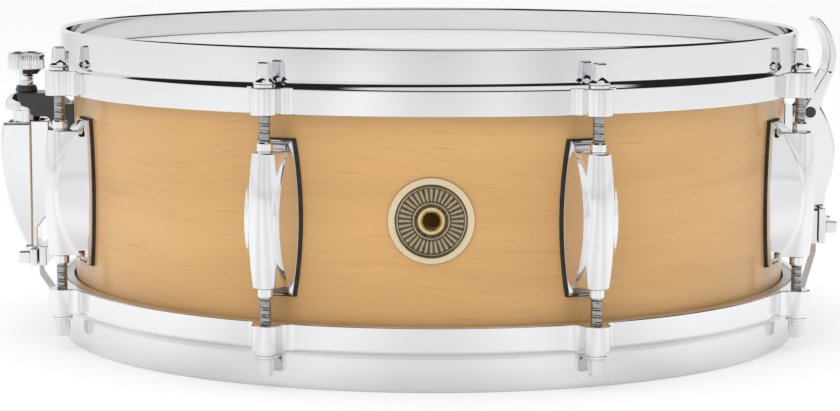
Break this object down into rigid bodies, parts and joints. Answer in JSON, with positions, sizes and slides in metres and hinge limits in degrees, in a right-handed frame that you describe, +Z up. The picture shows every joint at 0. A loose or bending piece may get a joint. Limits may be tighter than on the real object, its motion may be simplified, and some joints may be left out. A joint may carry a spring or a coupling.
{
  "type": "snare drum",
  "caption": "Snare drum: maple shell and white heads between die-cast hoops, double-ended lugs, square-headed tension rods, snare wires, a side throw-off lever and an adjustable butt end.",
  "frame": {"origin": "on the drum's axis, at the plane that the lower hoop's rim rests on", "axes": "+Z up along the drum's axis; -Y is the front, with the badge; +X is the throw-off's side and -X the butt end's side"},
  "size_m": [0.4207, 0.3728, 0.1571],
  "materials": {
    "maple": "satin clear lacquer over straight horizontal grain",
    "chrome": "bright plated die casting",
    "coated_film": "white coated polyester film",
    "clear_film": "thin hazy polyester film",
    "aluminium": "plain rolled",
    "brass": "brushed, lacquered",
    "black_gasket": "matt",
    "steel": "plated",
    "wire_steel": "drawn wire",
    "black_metal": "semi-gloss black",
    "strap_fabric": "woven ribbon"
  },
  "bodies": {
    "drum": {"shell": "maple", "badge": "brass", "vent_grommet": "chrome", "batter_head": "coated_film", "snare_side_head": "clear_film", "lug_1": "chrome", "lug_2": "chrome", "lug_3": "chrome", "lug_4": "chrome", "lug_5": "chrome", "lug_6": "chrome", "lug_7": "chrome", "lug_8": "chrome", "lug_gaskets": "black_gasket", "swivel_nuts": "chrome", "nut_springs": "steel", "lug_screws": "steel", "lug_screw_washers": "steel", "strainer_screws": "steel", "throwoff_gasket": "black_gasket", "throwoff_base": "black_metal", "throwoff_housing": "chrome", "butt_gasket": "black_gasket", "butt_base": "black_metal", "butt_cap": "chrome"},
    "batter_hoop": {"batter_hoop": "chrome", "batter_flesh_hoop": "aluminium", "batter_rod_washers": "chrome"},
    "snare_side_hoop": {"snare_side_hoop": "chrome", "snare_side_flesh_hoop": "aluminium", "snare_side_rod_washers": "chrome"},
    "batter_rod_1": {"batter_rod_1": "chrome"},
    "batter_rod_2": {"batter_rod_2": "chrome"},
    "batter_rod_3": {"batter_rod_3": "chrome"},
    "batter_rod_4": {"batter_rod_4": "chrome"},
    "batter_rod_5": {"batter_rod_5": "chrome"},
    "batter_rod_6": {"batter_rod_6": "chrome"},
    "batter_rod_7": {"batter_rod_7": "chrome"},
    "batter_rod_8": {"batter_rod_8": "chrome"},
    "snare_side_rod_1": {"snare_side_rod_1": "chrome"},
    "snare_side_rod_2": {"snare_side_rod_2": "chrome"},
    "snare_side_rod_3": {"snare_side_rod_3": "chrome"},
    "snare_side_rod_4": {"snare_side_rod_4": "chrome"},
    "snare_side_rod_5": {"snare_side_rod_5": "chrome"},
    "snare_side_rod_6": {"snare_side_rod_6": "chrome"},
    "snare_side_rod_7": {"snare_side_rod_7": "chrome"},
    "snare_side_rod_8": {"snare_side_rod_8": "chrome"},
    "throwoff_lever": {"throwoff_lever": "chrome", "throwoff_lever_shaft": "steel"},
    "throwoff_slide": {"throwoff_slide": "chrome", "throwoff_clamp_plate": "chrome", "throwoff_clamp_screws": "chrome"},
    "snare_wires": {"snare_wires": "wire_steel", "snare_end_plates": "brass", "snare_straps": "strap_fabric"},
    "tension_knob": {"tension_knob": "chrome"},
    "butt_slide": {"butt_slide": "chrome", "butt_clamp_plate": "chrome", "butt_clamp_screws": "chrome"}
  },
  "joints": [
    {"name": "batter_hoop_loosening", "type": "slide", "parent": "drum", "child": "batter_hoop", "axis": [0, 0, 1], "range_m": [0, 0.0025]},
    {"name": "snare_side_hoop_loosening", "type": "slide", "parent": "drum", "child": "snare_side_hoop", "axis": [0, 0, -1], "range_m": [0, 0.0025]},
    {"name": "batter_rod_1_turn", "type": "hinge", "parent": "batter_hoop", "child": "batter_rod_1", "pos_m": [0.17674, 0.07321, 0.1363], "axis": [0, 0, 1], "range_deg": [0, 860]},
    {"name": "batter_rod_2_turn", "type": "hinge", "parent": "batter_hoop", "child": "batter_rod_2", "pos_m": [0.07321, 0.17674, 0.1363], "axis": [0, 0, 1], "range_deg": [0, 860]},
    {"name": "batter_rod_3_turn", "type": "hinge", "parent": "batter_hoop", "child": "batter_rod_3", "pos_m": [-0.07321, 0.17674, 0.1363], "axis": [0, 0, 1], "range_deg": [0, 860]},
    {"name": "batter_rod_4_turn", "type": "hinge", "parent": "batter_hoop", "child": "batter_rod_4", "pos_m": [-0.17674, 0.07321, 0.1363], "axis": [0, 0, 1], "range_deg": [0, 860]},
    {"name": "batter_rod_5_turn", "type": "hinge", "parent": "batter_hoop", "child": "batter_rod_5", "pos_m": [-0.17674, -0.07321, 0.1363], "axis": [0, 0, 1], "range_deg": [0, 860]},
    {"name": "batter_rod_6_turn", "type": "hinge", "parent": "batter_hoop", "child": "batter_rod_6", "pos_m": [-0.07321, -0.17674, 0.1363], "axis": [0, 0, 1], "range_deg": [0, 860]},
    {"name": "batter_rod_7_turn", "type": "hinge", "parent": "batter_hoop", "child": "batter_rod_7", "pos_m": [0.07321, -0.17674, 0.1363], "axis": [0, 0, 1], "range_deg": [0, 860]},
    {"name": "batter_rod_8_turn", "type": "hinge", "parent": "batter_hoop", "child": "batter_rod_8", "pos_m": [0.17674, -0.07321, 0.1363], "axis": [0, 0, 1], "range_deg": [0, 860]},
    {"name": "snare_side_rod_1_turn", "type": "hinge", "parent": "snare_side_hoop", "child": "snare_side_rod_1", "pos_m": [0.17674, 0.07321, 0.0157], "axis": [0, 0, -1], "range_deg": [0, 860]},
    {"name": "snare_side_rod_2_turn", "type": "hinge", "parent": "snare_side_hoop", "child": "snare_side_rod_2", "pos_m": [0.07321, 0.17674, 0.0157], "axis": [0, 0, -1], "range_deg": [0, 860]},
    {"name": "snare_side_rod_3_turn", "type": "hinge", "parent": "snare_side_hoop", "child": "snare_side_rod_3", "pos_m": [-0.07321, 0.17674, 0.0157], "axis": [0, 0, -1], "range_deg": [0, 860]},
    {"name": "snare_side_rod_4_turn", "type": "hinge", "parent": "snare_side_hoop", "child": "snare_side_rod_4", "pos_m": [-0.17674, 0.07321, 0.0157], "axis": [0, 0, -1], "range_deg": [0, 860]},
    {"name": "snare_side_rod_5_turn", "type": "hinge", "parent": "snare_side_hoop", "child": "snare_side_rod_5", "pos_m": [-0.17674, -0.07321, 0.0157], "axis": [0, 0, -1], "range_deg": [0, 860]},
    {"name": "snare_side_rod_6_turn", "type": "hinge", "parent": "snare_side_hoop", "child": "snare_side_rod_6", "pos_m": [-0.07321, -0.17674, 0.0157], "axis": [0, 0, -1], "range_deg": [0, 860]},
    {"name": "snare_side_rod_7_turn", "type": "hinge", "parent": "snare_side_hoop", "child": "snare_side_rod_7", "pos_m": [0.07321, -0.17674, 0.0157], "axis": [0, 0, -1], "range_deg": [0, 860]},
    {"name": "snare_side_rod_8_turn", "type": "hinge", "parent": "snare_side_hoop", "child": "snare_side_rod_8", "pos_m": [0.17674, -0.07321, 0.0157], "axis": [0, 0, -1], "range_deg": [0, 860]},
    {"name": "throwoff_lever_swing", "type": "hinge", "parent": "drum", "child": "throwoff_lever", "pos_m": [0.1908, 0, 0.1099], "axis": [0, 1, 0], "range_deg": [0, 100]},
    {"name": "throwoff_slide_drop", "type": "slide", "parent": "drum", "child": "throwoff_slide", "axis": [0, 0, -1], "range_m": [0, 0.0068]},
    {"name": "snare_wires_slack", "type": "slide", "parent": "throwoff_slide", "child": "snare_wires", "axis": [0, 0, 1], "range_m": [0, 0.0038]},
    {"name": "tension_knob_turn", "type": "hinge", "parent": "drum", "child": "tension_knob", "pos_m": [-0.203, 0, 0.134], "axis": [0, 0, 1], "range_deg": [-720, 720]},
    {"name": "butt_slide_travel", "type": "slide", "parent": "drum", "child": "butt_slide", "axis": [0, 0, 1], "range_m": [-0.0016, 0.0016]}
  ],
  "couplings": [
    {"joint": "batter_rod_1_turn", "follows": "batter_hoop_loosening", "rad_per_m": 5938.7},
    {"joint": "batter_rod_2_turn", "follows": "batter_hoop_loosening", "rad_per_m": 5938.7},
    {"joint": "batter_rod_3_turn", "follows": "batter_hoop_loosening", "rad_per_m": 5938.7},
    {"joint": "batter_rod_4_turn", "follows": "batter_hoop_loosening", "rad_per_m": 5938.7},
    {"joint": "batter_rod_5_turn", "follows": "batter_hoop_loosening", "rad_per_m": 5938.7},
    {"joint": "batter_rod_6_turn", "follows": "batter_hoop_loosening", "rad_per_m": 5938.7},
    {"joint": "batter_rod_7_turn", "follows": "batter_hoop_loosening", "rad_per_m": 5938.7},
    {"joint": "batter_rod_8_turn", "follows": "batter_hoop_loosening", "rad_per_m": 5938.7},
    {"joint": "snare_side_rod_1_turn", "follows": "snare_side_hoop_loosening", "rad_per_m": 5938.7},
    {"joint": "snare_side_rod_2_turn", "follows": "snare_side_hoop_loosening", "rad_per_m": 5938.7},
    {"joint": "snare_side_rod_3_turn", "follows": "snare_side_hoop_loosening", "rad_per_m": 5938.7},
    {"joint": "snare_side_rod_4_turn", "follows": "snare_side_hoop_loosening", "rad_per_m": 5938.7},
    {"joint": "snare_side_rod_5_turn", "follows": "snare_side_hoop_loosening", "rad_per_m": 5938.7},
    {"joint": "snare_side_rod_6_turn", "follows": "snare_side_hoop_loosening", "rad_per_m": 5938.7},
    {"joint": "snare_side_rod_7_turn", "follows": "snare_side_hoop_loosening", "rad_per_m": 5938.7},
    {"joint": "snare_side_rod_8_turn", "follows": "snare_side_hoop_loosening", "rad_per_m": 5938.7},
    {"joint": "throwoff_lever_swing", "follows": "throwoff_slide_drop", "rad_per_m": 256.66},
    {"joint": "snare_wires_slack", "follows": "throwoff_slide_drop", "ratio": 0.5588},
    {"joint": "tension_knob_turn", "follows": "butt_slide_travel", "rad_per_m": -7853.9}
  ]
}
